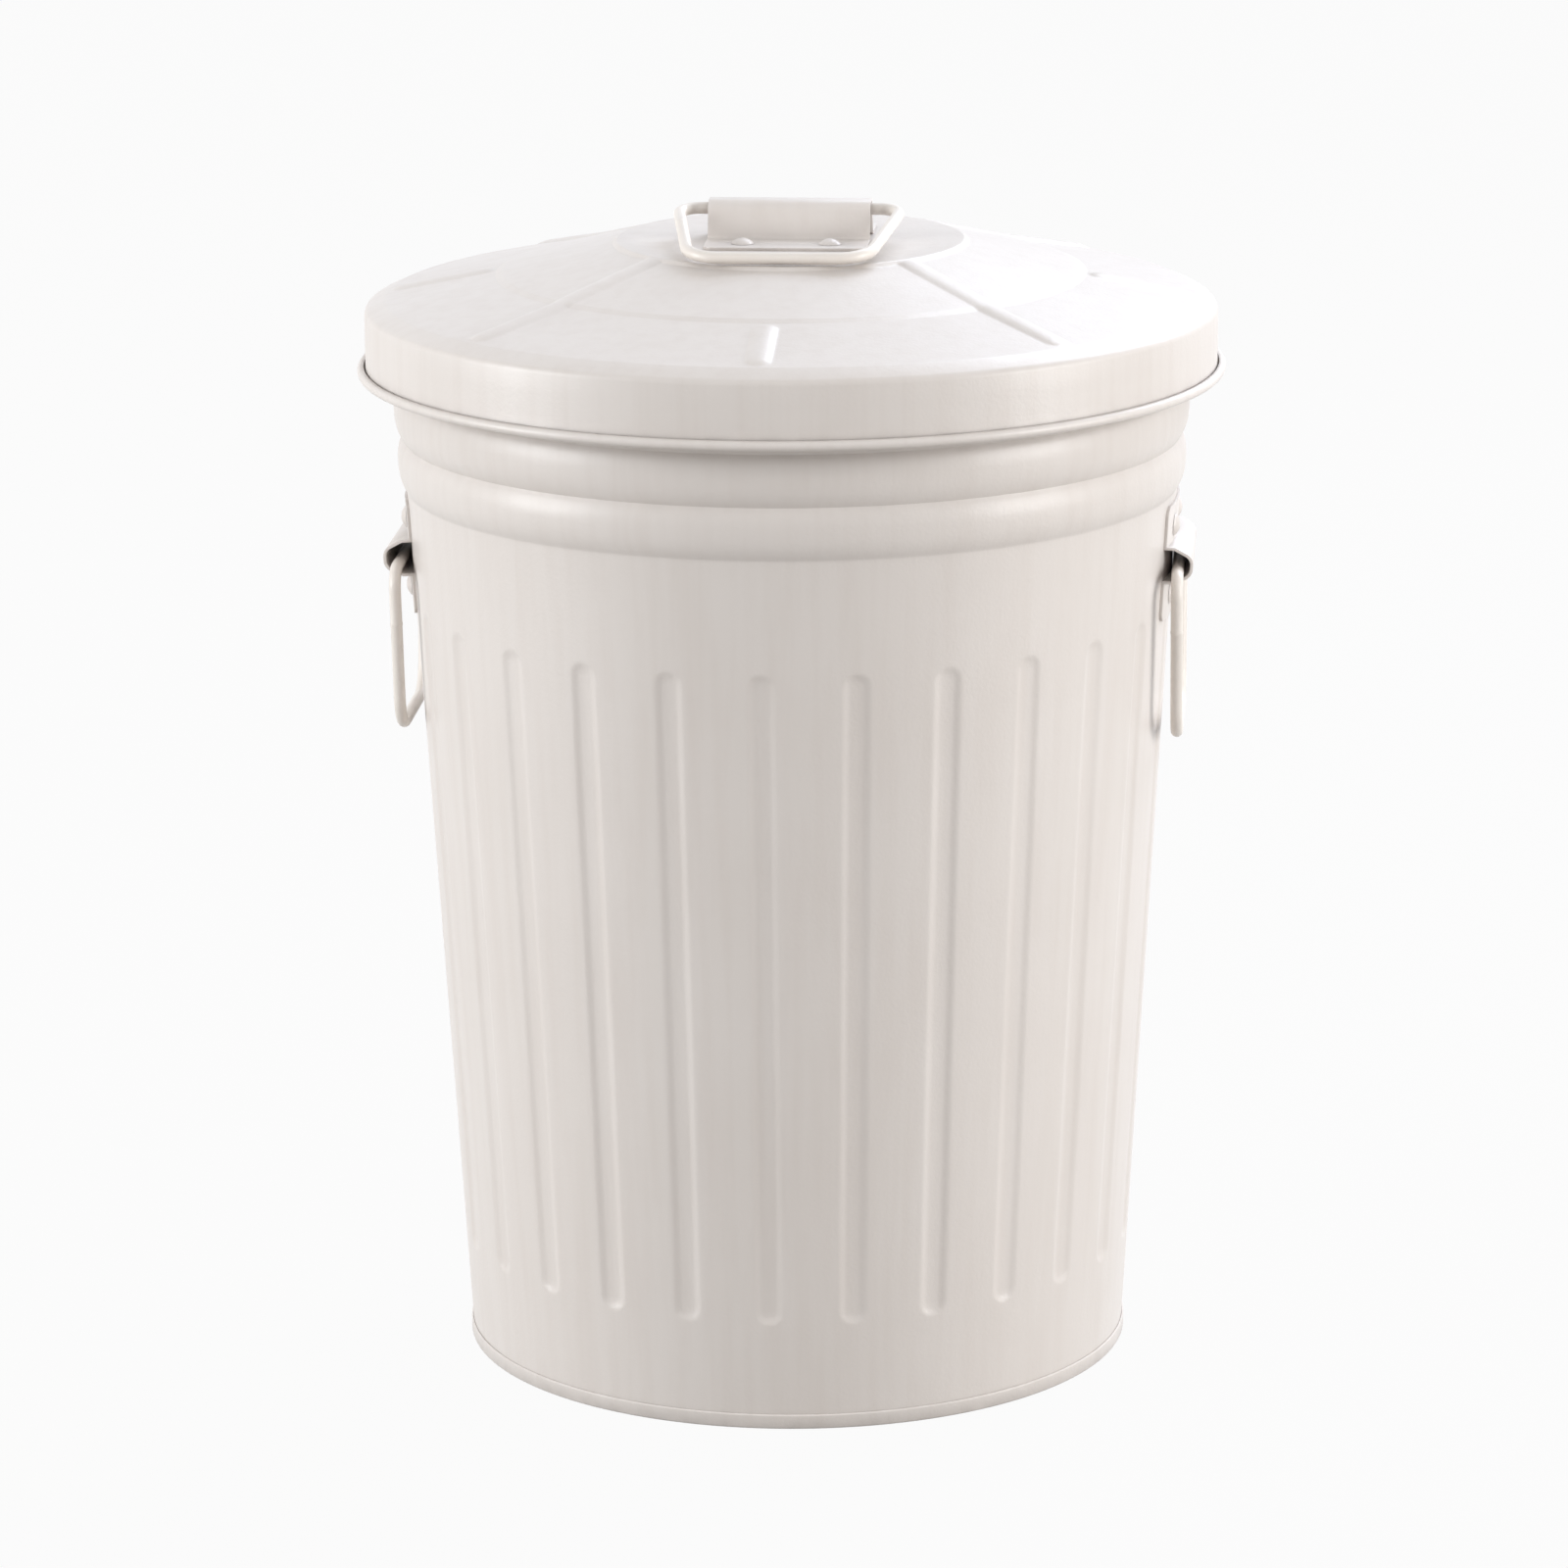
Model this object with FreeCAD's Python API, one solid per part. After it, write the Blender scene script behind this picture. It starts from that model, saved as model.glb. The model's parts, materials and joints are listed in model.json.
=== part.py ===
import FreeCAD, Part
import math
import os

from FreeCAD import Matrix, Vector

os.makedirs("parts", exist_ok=True)

# A round sheet-steel trash can with a lift-off lid and three drop rings.
# The origin is the middle of the foot on the floor, +Z is up and the front is -Y.
# All lengths are in millimetres and all angles are in degrees.

# Sheet and wire stock
sheet_thickness = 0.7
bracket_sheet = 1.2
ring_wire_diameter = 5.0
rim_wire_diameter = 4.0

# Gaps
moving_gap = 0.4            # between pieces that move past each other
seam_gap = 0.1              # between pieces that are folded or riveted together
lid_clearance = 2.7         # between the curled rim and the inside of the lid's skirt
shortest_edge = 0.001       # a shorter piece of an outline is left out

# Can wall
foot_radius = 139.0         # outside of the wall at floor level
wall_taper = 3.35           # lean of the wall from vertical
lowest_crease_height = 368.9
roll_count = 2              # rounded rolls pressed round the top of the wall
roll_height = 21.6
roll_depth = 2.8            # how far a roll's crest stands out of the wall
neck_flare = 5.3            # how far the straight neck stands out of the highest crease
neck_flare_height = 8.9     # from the highest crease up to the neck
neck_length = 21.3          # from there to the middle of the curled rim

# Pressed flutes in the wall
flute_count = 26
flute_width = 12.5
flute_depth = 1.4
flute_bottom_height = 45.0
flute_crease_gap = 46.4     # from the top of the flutes to the lowest crease

# Lap seam of the rolled wall, at the back
seam_width = 6.0

# Foot
hoop_height = 6.0           # height of the folded hoop round the foot
wall_foot_height = 1.4      # where the wall ends inside the hoop
floor_height = 8.0          # inside floor of the can
hoop_corner_radius = 0.9

# Lid, outside faces
platform_radius = 72.0
platform_rise = 13.4        # from the shallow step up to the platform
platform_step_width = 1.8
platform_step_depth = 1.5
ring_step_radius = 121.0    # middle of the shallow step halfway down the lid
ring_step_rise = 9.9        # from the shoulder up to the middle of that step
ring_step_width = 3.0
ring_step_depth = 1.4
shoulder_width = 8.7        # from the shoulder out to the skirt
shoulder_rise = 3.9         # from the top of the skirt up to the shoulder
skirt_depth = 25.3          # from the top of the skirt down to the middle of the hem
hem_bore_radius = 1.4
platform_edge_radius = 1.4
step_corner_radius = 1.6
shoulder_corner_radius = 4.0
skirt_corner_radius = 3.2

# Raised ribs on the lid
rib_width = 11.0
rib_rise = 1.4
rib_pitch = 90.0
long_rib_azimuth = 45.0
short_rib_azimuth = 0.0
rib_end_gap = 7.0           # from the centre of a rib's outer end to the shoulder
long_rib_start = 3.2        # from the foot of the platform to the centre of its inner end
short_rib_start = 8.0       # from the shallow step to the centre of its inner end

# Drop rings, on the wire's middle line
ring_width = 93.0
ring_foot_width = 72.0
ring_drop = 69.5
ring_shoulder_radius = 8.0
ring_corner_radius = 16.0

# Brackets
bracket_length = 67.0
bracket_corner_radius = 4.0
bracket_bend_radius = 1.5
lid_bracket_depth = 66.0
lid_hood_height = 16.3
lid_hood_width = 21.0
lid_crown_width = 13.0
side_bracket_depth = 48.5
side_hood_height = 9.0
side_hood_width = 15.5
side_crown_width = 8.0
hood_crown_radius = 5.0
side_bracket_gap = 3.7      # from the side brackets up to the lowest crease

# Rivets
rivet_spacing = 36.0
lid_rivet_edge = 10.5       # from the edge of the bracket to the middle of the rivet
side_rivet_edge = 9.8
rivet_head_diameter = 9.5
rivet_head_height = 2.2
rivet_shank_diameter = 4.0
rivet_tail_diameter = 6.5
rivet_tail_height = 1.2

# Angles and directions
full_turn = 360.0
half_turn = 180.0
quarter_turn = 90.0
curl_opening = 70.0         # open part of a rolled edge, where its end tucks in
axis_up = Vector(0, 0, 1)
origin = Vector(0, 0, 0)


def wall_radius(height):
    """Outside of the plain tapered wall at a height."""
    return foot_radius + height * math.tan(math.radians(wall_taper))


# Wires and rivets, worked out from the sizes above
ring_wire_radius = ring_wire_diameter / 2
rim_wire_radius = rim_wire_diameter / 2
rivet_hole_radius = rivet_shank_diameter / 2 + seam_gap
rivet_grip = bracket_sheet + sheet_thickness + 2 * seam_gap
lid_rivet_offset = lid_bracket_depth / 2 - lid_rivet_edge
side_rivet_offset = side_bracket_depth / 2 - side_rivet_edge

# Side brackets and flutes hang below the lowest crease
side_bracket_height = lowest_crease_height - side_bracket_gap - side_bracket_depth / 2
flute_top_height = lowest_crease_height - flute_crease_gap

# The lap seam lies between two flutes
flute_pitch = full_turn / flute_count
seam_azimuth = quarter_turn + flute_pitch / 2

# The neck and its curled rim stand on the highest crease
top_crease_height = lowest_crease_height + roll_count * roll_height
neck_radius = wall_radius(top_crease_height) + neck_flare
neck_start_height = top_crease_height + neck_flare_height
neck_curl_bore = rim_wire_radius + seam_gap
neck_curl_outside = neck_curl_bore + sheet_thickness
neck_curl_radius = neck_radius + neck_curl_bore
neck_curl_height = neck_start_height + neck_length

# The lid's skirt goes over the rim, and the slope of its shoulder rests on it
skirt_radius = neck_curl_radius + neck_curl_outside + lid_clearance + sheet_thickness
shoulder_radius = skirt_radius - shoulder_width
shoulder_lean = math.atan2(shoulder_rise, shoulder_width)
curl_to_shoulder = neck_curl_outside + moving_gap + sheet_thickness
shoulder_over_curl = neck_curl_height + curl_to_shoulder / math.cos(shoulder_lean)
skirt_outside_curl = skirt_radius - neck_curl_radius
skirt_top_height = shoulder_over_curl - skirt_outside_curl * math.tan(shoulder_lean)
shoulder_height = skirt_top_height + shoulder_rise
ring_step_height = shoulder_height + ring_step_rise
platform_height = ring_step_height + platform_rise
hem_height = skirt_top_height - skirt_depth

# Ribs of the lid
rib_outer_radius = shoulder_radius - rib_end_gap
long_rib_inner_radius = platform_radius + platform_step_width + long_rib_start
short_rib_inner_radius = ring_step_radius + short_rib_start


def turn_between(before, corner, after):
    """Signed turn at a corner, in radians, positive to the left."""
    first = corner.sub(before)
    second = after.sub(corner)
    cross = first.x * second.z - first.z * second.x
    dot = first.x * second.x + first.z * second.z
    return math.atan2(cross, dot)


def rounded_path(corners, radii):
    """Edges along corners in the XZ plane, each corner rounded to its radius."""
    edges = []
    start = corners[0]
    for index in range(1, len(corners) - 1):
        corner = corners[index]
        radius = radii[index]
        if radius <= 0:
            edges.append(Part.LineSegment(start, corner).toShape())
            start = corner
            continue
        turn = turn_between(corners[index - 1], corner, corners[index + 1])
        reach = radius * math.tan(abs(turn) / 2)
        incoming = corner.sub(corners[index - 1]).normalize()
        outgoing = corners[index + 1].sub(corner).normalize()
        arc_start = corner.sub(incoming * reach)
        arc_end = corner.add(outgoing * reach)
        inward = outgoing.sub(incoming).normalize()
        centre = corner.add(inward * (radius / math.cos(turn / 2)))
        arc_middle = centre.sub(inward * radius)
        if start.distanceToPoint(arc_start) > shortest_edge:
            edges.append(Part.LineSegment(start, arc_start).toShape())
        edges.append(Part.Arc(arc_start, arc_middle, arc_end).toShape())
        start = arc_end
    edges.append(Part.LineSegment(start, corners[-1]).toShape())
    return edges


def offset_path(corners, radii, distance):
    """The same path moved to its right by a distance, with matching radii."""
    moved = []
    moved_radii = []
    last = len(corners) - 1
    for index, corner in enumerate(corners):
        before = corners[max(index - 1, 0)]
        after = corners[min(index + 1, last)]
        turn = 0.0
        if 0 < index < last:
            turn = turn_between(before, corner, after)
        heading = after.sub(corner) if index == 0 else corner.sub(before)
        angle = math.atan2(heading.z, heading.x) + turn / 2
        reach = distance / math.cos(turn / 2)
        moved.append(corner.add(Vector(math.sin(angle), 0, -math.cos(angle)) * reach))
        grow = distance if turn > 0 else -distance
        moved_radii.append(radii[index] + grow if radii[index] > 0 else 0)
    return moved, moved_radii


def revolve(edges):
    """Solid of revolution about the vertical axis from a closed outline."""
    face = Part.Face(Part.Wire(Part.sortEdges(edges)[0]))
    return face.revolve(origin, axis_up, full_turn)


def line(start, end):
    return Part.LineSegment(start, end).toShape()


def fill_to_axis(edges, base_height):
    """Solid between a profile and the vertical axis, closed flat at a height."""
    points = Part.Wire(Part.sortEdges(edges)[0]).OrderedVertexes
    ends = sorted((points[0].Point, points[-1].Point), key=lambda point: point.z)
    low = Vector(ends[0].x, 0, base_height)
    foot = Vector(0, 0, base_height)
    top = Vector(0, 0, ends[1].z)
    outline = list(edges)
    for start, end in ((ends[0], low), (low, foot), (foot, top), (top, ends[1])):
        if start.distanceToPoint(end) > shortest_edge:
            outline.append(line(start, end))
    return revolve(outline)


def sheet_of_revolution(corners, radii, thickness):
    """Revolved sheet with its outside on the path and its thickness to the right."""
    inner, inner_radii = offset_path(corners, radii, thickness)
    edges = rounded_path(corners, radii)
    edges += rounded_path(inner, inner_radii)
    edges.append(line(corners[0], inner[0]))
    if corners[-1].distanceToPoint(inner[-1]) > 0:
        edges.append(line(corners[-1], inner[-1]))
    return edges


def rolled_edge(centre_radius, centre_height, bore, start_angle, sweep):
    """Hollow rolled edge of the sheet, as a ring with an open curl section."""
    def point(radius, angle):
        turned = math.radians(angle)
        across = centre_radius + radius * math.cos(turned)
        return Vector(across, 0, centre_height + radius * math.sin(turned))
    outside = bore + sheet_thickness
    middle_angle = start_angle + sweep / 2
    end_angle = start_angle + sweep
    edges = []
    for radius in (bore, outside):
        start = point(radius, start_angle)
        middle = point(radius, middle_angle)
        end = point(radius, end_angle)
        edges.append(Part.Arc(start, middle, end).toShape())
    for angle in (start_angle, end_angle):
        edges.append(line(point(bore, angle), point(outside, angle)))
    return revolve(edges)


def capsule(start, end, radius):
    """Round-ended bar between two points."""
    axis = end.sub(start)
    bar = Part.makeCylinder(radius, axis.Length, start, axis)
    caps = [Part.makeSphere(radius, point) for point in (start, end)]
    return bar.fuse(caps)


def copies_round(shape, count, pitch, first):
    """Copies of a shape about the vertical axis."""
    turned = []
    for index in range(count):
        copy = shape.copy()
        copy.rotate(origin, axis_up, first + index * pitch)
        turned.append(copy)
    return turned


def press_radius(width, depth):
    """Radius of the round tool that presses a groove of a width and depth."""
    half = width / 2
    return (half * half + depth * depth) / (2 * depth)


def one_solid(shape):
    """The single clean solid that a boolean leaves."""
    return shape.removeSplitter().Solids[0]


def export(shape, name):
    """Write one node and report its volume."""
    shape.exportStep("parts/" + name + ".step")
    state = "valid" if shape.isValid() else "INVALID"
    print(name, state, len(shape.Solids), "solid(s)", round(shape.Volume, 1), "mm3")


# --- Can ---

def wall_profile(inset):
    """Edges of the wall from its foot to the neck, moved inward by an inset."""
    def point(radius, height):
        return Vector(radius - inset, 0, height)
    lowest = point(wall_radius(wall_foot_height), wall_foot_height)
    crease = point(wall_radius(lowest_crease_height), lowest_crease_height)
    edges = [line(lowest, crease)]
    for index in range(roll_count):
        base = lowest_crease_height + index * roll_height
        crest_height = base + roll_height / 2
        crest = point(wall_radius(crest_height) + roll_depth, crest_height)
        upper_height = base + roll_height
        upper = point(wall_radius(upper_height), upper_height)
        edges.append(Part.Arc(crease, crest, upper).toShape())
        crease = upper
    neck_foot = point(neck_radius, neck_start_height)
    edges.append(line(crease, neck_foot))
    edges.append(line(neck_foot, point(neck_radius, neck_curl_height)))
    return edges


def flute_tool(extra):
    """Round-ended bar that presses one flute at the front of the wall."""
    radius = press_radius(flute_width, flute_depth)
    lean = math.radians(wall_taper)
    half = flute_width / 2
    ends = []
    for height in (flute_bottom_height + half, flute_top_height - half):
        stand_off = radius - flute_depth
        across = wall_radius(height) + stand_off * math.cos(lean)
        ends.append(Vector(0, -across, height - stand_off * math.sin(lean)))
    return capsule(ends[0], ends[1], radius + extra)


def wall_layer(inside, outside):
    """Shell of the plain tapered wall between two distances from its outside."""
    solids = []
    for distance in (inside, outside):
        base_radius = wall_radius(wall_foot_height) + distance
        top_radius = wall_radius(lowest_crease_height) + distance
        rise = lowest_crease_height - wall_foot_height
        base = Vector(0, 0, wall_foot_height)
        solids.append(Part.makeCone(base_radius, top_radius, rise, base))
    return solids[1].cut(solids[0])


def make_lap_seam():
    """Outer lap of the sheet where the rolled wall is joined, at the back."""
    height = lowest_crease_height - hoop_height - 2 * sheet_thickness
    reach = wall_radius(lowest_crease_height) + roll_depth
    corner = Vector(0, -seam_width / 2, hoop_height + sheet_thickness)
    strip = Part.makeBox(reach, seam_width, height, corner)
    strip.rotate(origin, axis_up, seam_azimuth)
    return wall_layer(0, sheet_thickness).common(strip)


def make_body_shell():
    """Rolled wall with flutes, rolls, neck and the curled top edge."""
    outside = fill_to_axis(wall_profile(0), wall_foot_height)
    inside = fill_to_axis(wall_profile(sheet_thickness), wall_foot_height)
    outer_tools = copies_round(flute_tool(0), flute_count, flute_pitch, 0)
    inner_tools = copies_round(flute_tool(sheet_thickness), flute_count, flute_pitch, 0)
    shell = outside.cut(outer_tools).cut(inside.cut(inner_tools))
    curl = rolled_edge(neck_curl_radius, neck_curl_height, neck_curl_bore,
                       half_turn, curl_opening - full_turn)
    shell = shell.fuse([curl, make_lap_seam()])
    return one_solid(shell.cut(side_rivet_holes()))


def make_rim_wire():
    """Steel wire that the top edge of the wall is rolled round."""
    centre = Vector(0, 0, neck_curl_height)
    return Part.makeTorus(neck_curl_radius, rim_wire_radius, centre, axis_up)


def make_bottom_pan():
    """Raised floor whose edge is folded down and round the foot of the wall."""
    hoop_outside = wall_radius(hoop_height) + seam_gap + sheet_thickness
    hoop_inside = wall_radius(wall_foot_height) - 2 * sheet_thickness - seam_gap
    underside = floor_height - sheet_thickness
    corners = [
        Vector(hoop_outside, 0, hoop_height),
        Vector(hoop_outside, 0, 0),
        Vector(hoop_inside, 0, 0),
        Vector(hoop_inside, 0, underside),
        Vector(0, 0, underside),
    ]
    radii = [0, hoop_corner_radius, hoop_corner_radius, hoop_corner_radius, 0]
    edges = sheet_of_revolution(corners, radii, sheet_thickness)
    return one_solid(revolve(edges))


# --- Lid ---

def lid_corners():
    """Corners of the lid's outside, from the middle of the platform to the hem."""
    platform_edge = platform_radius + platform_step_width
    half_step = ring_step_width / 2
    half_drop = ring_step_depth / 2
    return [
        Vector(0, 0, platform_height),
        Vector(platform_radius, 0, platform_height),
        Vector(platform_edge, 0, platform_height - platform_step_depth),
        Vector(ring_step_radius - half_step, 0, ring_step_height + half_drop),
        Vector(ring_step_radius + half_step, 0, ring_step_height - half_drop),
        Vector(shoulder_radius, 0, shoulder_height),
        Vector(skirt_radius, 0, skirt_top_height),
        Vector(skirt_radius, 0, hem_height),
    ]


def lid_radii():
    """Rounding of each corner of the lid's outside."""
    return [
        0,
        platform_edge_radius,
        step_corner_radius,
        step_corner_radius,
        step_corner_radius,
        shoulder_corner_radius,
        skirt_corner_radius,
        0,
    ]


def surface_height(corners, radius):
    """Height of a polyline surface at a radius."""
    for low, high in zip(corners, corners[1:]):
        if low.x <= radius <= high.x:
            share = (radius - low.x) / (high.x - low.x)
            return low.z + share * (high.z - low.z)
    return corners[-1].z


def rib_tool(inner_radius, thinner):
    """Round-ended bar that raises one rib along +X, following the lid's slope."""
    radius = press_radius(rib_width, rib_rise)
    corners = lid_corners()
    stations = [inner_radius, rib_outer_radius]
    if inner_radius < ring_step_radius:
        stations.insert(1, ring_step_radius)
    sunk = radius - rib_rise
    points = [Vector(at, 0, surface_height(corners, at) - sunk) for at in stations]
    bars = [capsule(a, b, radius - thinner) for a, b in zip(points, points[1:])]
    if len(bars) == 1:
        return bars[0]
    return bars[0].fuse(bars[1])


def rib_tools(thinner):
    """All the ribs of the lid."""
    count = round(full_turn / rib_pitch)
    longs = copies_round(rib_tool(long_rib_inner_radius, thinner),
                         count, rib_pitch, long_rib_azimuth)
    shorts = copies_round(rib_tool(short_rib_inner_radius, thinner),
                          count, rib_pitch, short_rib_azimuth)
    return longs + shorts


def make_lid_shell():
    """Pressed lid with its platform, ribs, skirt and rolled hem."""
    corners = lid_corners()
    radii = lid_radii()
    inner, inner_radii = offset_path(corners, radii, sheet_thickness)
    outside = fill_to_axis(rounded_path(corners, radii), hem_height)
    inside = fill_to_axis(rounded_path(inner, inner_radii), hem_height)
    shell = outside.fuse(rib_tools(0)).cut(inside.fuse(rib_tools(sheet_thickness)))
    hem = rolled_edge(skirt_radius + hem_bore_radius, hem_height, hem_bore_radius,
                      half_turn, full_turn - curl_opening)
    below = Part.makeCylinder(skirt_radius, hem_height, origin)
    shell = shell.cut(below).fuse(hem)
    return one_solid(shell.cut(lid_rivet_holes()))


# --- Drop rings and their brackets ---

def make_ring():
    """Bent wire ring with its hinge bar on the X axis, dropping along -Z."""
    half = ring_width / 2
    half_foot = ring_foot_width / 2
    corners = [
        Vector(0, 0, 0),
        Vector(half, 0, 0),
        Vector(half_foot, 0, -ring_drop),
        Vector(-half_foot, 0, -ring_drop),
        Vector(-half, 0, 0),
        Vector(0, 0, 0),
    ]
    radii = [0, ring_shoulder_radius, ring_corner_radius,
             ring_corner_radius, ring_shoulder_radius, 0]
    path = Part.Wire(rounded_path(corners, radii))
    section = Part.Wire(Part.makeCircle(ring_wire_radius, origin, Vector(1, 0, 0)))
    ring = path.makePipeShell([section], True, False)
    expected = math.pi * ring_wire_radius ** 2 * path.Length
    print("ring volume over section times length:", round(ring.Volume / expected, 5))
    return ring


def hood_section(hood_width, crown_width, hood_height, depth, skirt):
    """Closed outline of a bracket across its hinge axis, in the XZ plane.

    The hood goes over the hinge bar. With a depth it has flat flanges, and with
    a skirt its sides run on down past the mounting face instead.
    """
    half_foot = hood_width / 2
    half_crown = crown_width / 2
    crown = [
        Vector(-half_foot, 0, bracket_sheet),
        Vector(-half_crown, 0, hood_height),
        Vector(half_crown, 0, hood_height),
        Vector(half_foot, 0, bracket_sheet),
    ]
    if skirt > 0:
        ends = [Vector(-half_foot, 0, -skirt), Vector(half_foot, 0, -skirt)]
        foot_radii = 0
    else:
        ends = [Vector(-depth / 2, 0, bracket_sheet), Vector(depth / 2, 0, bracket_sheet)]
        foot_radii = bracket_bend_radius
    corners = [ends[0]] + crown + [ends[1]]
    radii = [0, foot_radii, hood_crown_radius, hood_crown_radius, foot_radii, 0]
    inner, inner_radii = offset_path(corners, radii, bracket_sheet)
    edges = rounded_path(corners, radii)
    edges += rounded_path(inner, inner_radii)
    edges.append(line(corners[0], inner[0]))
    edges.append(line(corners[-1], inner[-1]))
    return Part.Face(Part.Wire(Part.sortEdges(edges)[0]))


def bracket_blank(depth, height):
    """Block with rounded corners that a bracket is trimmed to, hinge along Y."""
    low = Vector(-depth / 2, -bracket_length / 2, -height)
    block = Part.makeBox(depth, bracket_length, 2 * height, low)
    corners = [edge for edge in block.Edges if edge.BoundBox.ZLength > height]
    return block.makeFillet(bracket_corner_radius, corners)


def hood_bar(face):
    """A hood outline stretched along the hinge axis, Y."""
    bar = face.extrude(Vector(0, bracket_length, 0))
    bar.translate(Vector(0, -bracket_length / 2, 0))
    return bar


def low_in_hood(rise):
    """How far a hinge bar at a height in a side hood can sink before it rests on it."""
    half_foot = side_hood_width / 2
    half_crown = side_crown_width / 2
    lean = math.atan2(half_foot - half_crown, side_hood_height - bracket_sheet)
    side = half_foot - (rise - bracket_sheet) * math.tan(lean)
    return side - (bracket_sheet + moving_gap + ring_wire_radius) / math.cos(lean)


def make_rivet():
    """Domed rivet along Z, with its head on the plane Z = 0."""
    head = rivet_head_diameter / 2
    shank = rivet_shank_diameter / 2
    tail = rivet_tail_diameter / 2
    dome_radius = press_radius(rivet_head_diameter, rivet_head_height)
    dome_middle = math.asin(head / dome_radius) / 2
    dome_centre = rivet_head_height - dome_radius
    middle = Vector(dome_radius * math.sin(dome_middle), 0,
                    dome_centre + dome_radius * math.cos(dome_middle))
    points = [
        Vector(0, 0, rivet_head_height),
        Vector(0, 0, -rivet_grip - rivet_tail_height),
        Vector(tail - rivet_tail_height / 2, 0, -rivet_grip - rivet_tail_height),
        Vector(tail, 0, -rivet_grip),
        Vector(shank, 0, -rivet_grip),
        Vector(shank, 0, 0),
        Vector(head, 0, 0),
    ]
    edges = [line(a, b) for a, b in zip(points, points[1:])]
    edges.append(Part.Arc(points[-1], middle, points[0]).toShape())
    return revolve(edges)


def rivet_hole():
    """Hole for a rivet, in the rivet's own frame."""
    reach = 2 * rivet_grip
    return Part.makeCylinder(rivet_hole_radius, 2 * reach, Vector(0, 0, -reach))


def lid_rivet_places():
    """Foot of each lid rivet on the platform."""
    half = rivet_spacing / 2
    level = platform_height + bracket_sheet + seam_gap
    return [Vector(x, y, level)
            for x in (-half, half)
            for y in (-lid_rivet_offset, lid_rivet_offset)]


def lid_rivet_holes():
    """Holes for the lid rivets, through the platform and the bracket."""
    holes = []
    for place in lid_rivet_places():
        hole = rivet_hole()
        hole.translate(place)
        holes.append(hole)
    return holes


def side_rivet_matrices():
    """Place of each rivet of the right bracket, square to the tapered wall."""
    lean = math.radians(wall_taper)
    matrices = []
    for offset in (-side_rivet_offset, side_rivet_offset):
        height = side_bracket_height + offset * math.cos(lean)
        radius = wall_radius(height) + bracket_sheet + seam_gap
        swing = math.degrees(math.asin(rivet_spacing / 2 / radius))
        for azimuth in (-swing, swing):
            matrix = Matrix()
            matrix.rotateY(math.radians(quarter_turn) + lean)
            matrix.move(Vector(radius, 0, height))
            matrix.rotateZ(math.radians(azimuth))
            matrices.append(matrix)
    return matrices


def side_rivet_holes():
    """Holes for the rivets of both side brackets."""
    holes = []
    for matrix in side_rivet_matrices():
        hole = rivet_hole().transformGeometry(matrix)
        holes += copies_round(hole, 2, half_turn, 0)
    return holes


def make_lid_bracket():
    """Bracket that holds the lid's ring, flat on the platform, hinge along X."""
    section = hood_section(lid_hood_width, lid_crown_width, lid_hood_height, lid_bracket_depth, 0)
    plate = hood_bar(section).common(bracket_blank(lid_bracket_depth, 2 * lid_hood_height))
    plate.rotate(origin, axis_up, quarter_turn)
    plate.translate(Vector(0, 0, platform_height))
    return one_solid(plate.cut(lid_rivet_holes()))


def side_bracket_matrix():
    """From the bracket's own frame to the right side of the wall."""
    matrix = Matrix()
    matrix.rotateY(math.radians(quarter_turn) + math.radians(wall_taper))
    matrix.move(Vector(wall_radius(side_bracket_height), 0, side_bracket_height))
    return matrix


def make_side_bracket():
    """Bracket that holds the right ring, bent to the wall, hinge along Y."""
    matrix = side_bracket_matrix()
    half_length = bracket_length / 2
    radius = wall_radius(side_bracket_height)
    fall_away = radius - math.sqrt(radius ** 2 - half_length ** 2)
    skirt = fall_away + 2 * bracket_sheet
    section = hood_section(side_hood_width, side_crown_width, side_hood_height, 0, skirt)
    hood = hood_bar(section).transformGeometry(matrix)
    inside_wall = wall_layer(-2 * skirt, 0)
    hood = hood.cut(inside_wall)
    blank_reach = 2 * side_hood_height
    blank = bracket_blank(side_bracket_depth, blank_reach)
    channel_width = side_hood_width - 2 * bracket_sheet
    channel_corner = Vector(-channel_width / 2, -half_length, -blank_reach)
    channel = Part.makeBox(channel_width, bracket_length, 2 * blank_reach, channel_corner)
    flange = blank.cut(channel).transformGeometry(matrix)
    flange = flange.common(wall_layer(0, bracket_sheet))
    plate = hood.fuse(flange)
    return one_solid(plate.cut(side_rivet_holes()))


def make_side_rivets():
    """The four rivets of the right bracket."""
    rivets = [make_rivet().transformGeometry(matrix) for matrix in side_rivet_matrices()]
    return Part.makeCompound(rivets)


def make_lid_rivets():
    """The four rivets of the lid's bracket."""
    rivets = []
    for place in lid_rivet_places():
        rivet = make_rivet()
        rivet.translate(place)
        rivets.append(rivet)
    return Part.makeCompound(rivets)


def make_lid_ring():
    """The lid's ring, its hinge bar under the hood, folded to the front on the platform."""
    rest_rise = moving_gap + ring_wire_radius
    rise = lid_hood_height - bracket_sheet - rest_rise
    tilt = math.degrees(math.asin((rise - rest_rise) / ring_drop))
    ring = make_ring()
    ring.rotate(origin, Vector(1, 0, 0), tilt - quarter_turn)
    ring.translate(Vector(0, 0, platform_height + rise))
    print("lid ring hinge height", round(platform_height + rise, 3), "tilt", round(tilt, 3))
    return ring


def make_side_ring():
    """The right ring, hanging straight down, its bar low in the hood and by the wall."""
    rise = moving_gap + ring_wire_radius
    hinge = side_bracket_matrix().multVec(Vector(low_in_hood(rise), 0, rise))
    ring = make_ring()
    ring.rotate(origin, axis_up, quarter_turn)
    ring.translate(hinge)
    print("side ring hinge at", round(hinge.x, 3), round(hinge.z, 3))
    return ring


def turned_half(shape):
    """The same piece on the opposite side of the can."""
    return copies_round(shape, 1, 0, half_turn)[0]


side_bracket = make_side_bracket()
side_ring = make_side_ring()
side_rivets = make_side_rivets()

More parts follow.
